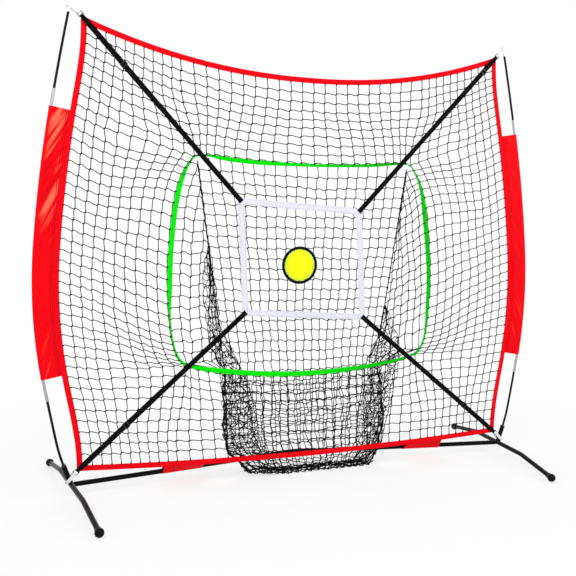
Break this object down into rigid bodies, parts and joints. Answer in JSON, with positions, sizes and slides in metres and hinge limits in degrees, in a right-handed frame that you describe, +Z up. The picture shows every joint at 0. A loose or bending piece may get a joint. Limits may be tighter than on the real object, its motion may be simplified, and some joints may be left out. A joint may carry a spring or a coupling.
{
  "type": "pitching target net",
  "caption": "Bow-framed square ball net with a sagging catch pocket, a webbing strike zone held by corner straps and ball-ended feet.",
  "frame": {"origin": "on the floor, midway between the two hubs, below the middle of the net", "axes": "+X to the right along the net, +Y away from the pitcher, +Z up"},
  "size_m": [2.506, 1.059, 2.1324],
  "materials": {
    "foot_enamel": "gloss enamel",
    "ball_rubber": "smooth rubber",
    "fitting_enamel": "textured enamel",
    "crossbar_enamel": "gloss enamel",
    "button_steel": "polished",
    "spring_steel": "bare spring steel",
    "plug_plastic": "moulded nylon",
    "rod_fibreglass": "glass fibre in resin",
    "ferrule_steel": "plated",
    "tip_plastic": "moulded, silver",
    "sleeve_satin": "satin weave",
    "hem_binding": "folded binding",
    "net_cord": "knotted cord",
    "rim_ribbon": "woven ribbon",
    "pocket_net": "knotted cord",
    "seam_cord": "gathered cord",
    "target_vinyl": "coated cloth",
    "target_edge": "bound edge",
    "zone_webbing": "woven webbing",
    "strap_webbing": "woven webbing",
    "slider_metal": "black enamel",
    "ring_metal": "black enamel",
    "loop_elastic": "flat elastic",
    "rivet_metal": "black enamel",
    "wrap_cloth": "nylon cloth"
  },
  "bodies": {
    "frame_and_net": {"right_foot": "foot_enamel", "left_foot": "foot_enamel", "right_front_ball": "ball_rubber", "right_rear_ball": "ball_rubber", "left_front_ball": "ball_rubber", "left_rear_ball": "ball_rubber", "right_hub": "fitting_enamel", "left_hub": "fitting_enamel", "right_crossbar": "crossbar_enamel", "left_crossbar": "crossbar_enamel", "elbow": "fitting_enamel", "right_hub_spring": "spring_steel", "left_hub_spring": "spring_steel", "right_elbow_spring": "spring_steel", "left_elbow_spring": "spring_steel", "post_plugs": "plug_plastic", "right_low_rod": "rod_fibreglass", "left_low_rod": "rod_fibreglass", "right_middle_rods": "rod_fibreglass", "left_middle_rods": "rod_fibreglass", "right_top_rod": "rod_fibreglass", "left_top_rod": "rod_fibreglass", "right_ferrules": "ferrule_steel", "left_ferrules": "ferrule_steel", "tip_caps": "tip_plastic", "right_sleeve": "sleeve_satin", "left_sleeve": "sleeve_satin", "top_hem": "hem_binding", "bottom_hem": "hem_binding", "left_hem": "hem_binding", "right_hem": "hem_binding", "net_top": "net_cord", "net_bottom": "net_cord", "net_left": "net_cord", "net_right": "net_cord", "pocket_rim": "rim_ribbon", "pocket_back": "pocket_net", "pocket_front": "pocket_net", "pocket_floor": "pocket_net", "pocket_left_side": "pocket_net", "pocket_right_side": "pocket_net", "seam_cords": "seam_cord", "target_pad": "target_vinyl", "target_ring": "target_edge", "strike_zone": "zone_webbing", "upper_straps": "strap_webbing", "lower_straps": "strap_webbing", "corner_rings": "ring_metal", "corner_loops": "loop_elastic", "loop_rivets": "rivet_metal", "bar_wraps": "wrap_cloth"},
    "right_hub_button": {"right_hub_button": "button_steel"},
    "right_elbow_button": {"right_elbow_button": "button_steel"},
    "left_hub_button": {"left_hub_button": "button_steel"},
    "left_elbow_button": {"left_elbow_button": "button_steel"},
    "slider_top_left": {"slider_top_left": "slider_metal"},
    "slider_top_right": {"slider_top_right": "slider_metal"},
    "slider_bottom_left": {"slider_bottom_left": "slider_metal"},
    "slider_bottom_right": {"slider_bottom_right": "slider_metal"}
  },
  "joints": [
    {"name": "right_hub_button_press", "type": "slide", "parent": "frame_and_net", "child": "right_hub_button", "axis": [0, 0, -1], "range_m": [0, 0.0045], "stiffness_N_per_m": 600, "springref_m": -0.002, "deforming": ["right_hub_spring"]},
    {"name": "right_elbow_button_press", "type": "slide", "parent": "frame_and_net", "child": "right_elbow_button", "axis": [0, 0, -1], "range_m": [0, 0.0048], "stiffness_N_per_m": 600, "springref_m": -0.002, "deforming": ["right_elbow_spring"]},
    {"name": "left_hub_button_press", "type": "slide", "parent": "frame_and_net", "child": "left_hub_button", "axis": [0, 0, -1], "range_m": [0, 0.0045], "stiffness_N_per_m": 600, "springref_m": -0.002, "deforming": ["left_hub_spring"]},
    {"name": "left_elbow_button_press", "type": "slide", "parent": "frame_and_net", "child": "left_elbow_button", "axis": [0, 0, -1], "range_m": [0, 0.0048], "stiffness_N_per_m": 600, "springref_m": -0.002, "deforming": ["left_elbow_spring"]},
    {"name": "top_left_strap_slide", "type": "slide", "parent": "frame_and_net", "child": "slider_top_left", "axis": [0.677, 0, -0.7359], "range_m": [-0.225, 0.205]},
    {"name": "top_right_strap_slide", "type": "slide", "parent": "frame_and_net", "child": "slider_top_right", "axis": [-0.6908, 0, -0.723], "range_m": [-0.075, 0.355]},
    {"name": "bottom_left_strap_slide", "type": "slide", "parent": "frame_and_net", "child": "slider_bottom_left", "axis": [0.7508, 0, 0.6606], "range_m": [-0.245, 0.185]},
    {"name": "bottom_right_strap_slide", "type": "slide", "parent": "frame_and_net", "child": "slider_bottom_right", "axis": [-0.7758, 0, 0.631], "range_m": [-0.21, 0.22]}
  ]
}
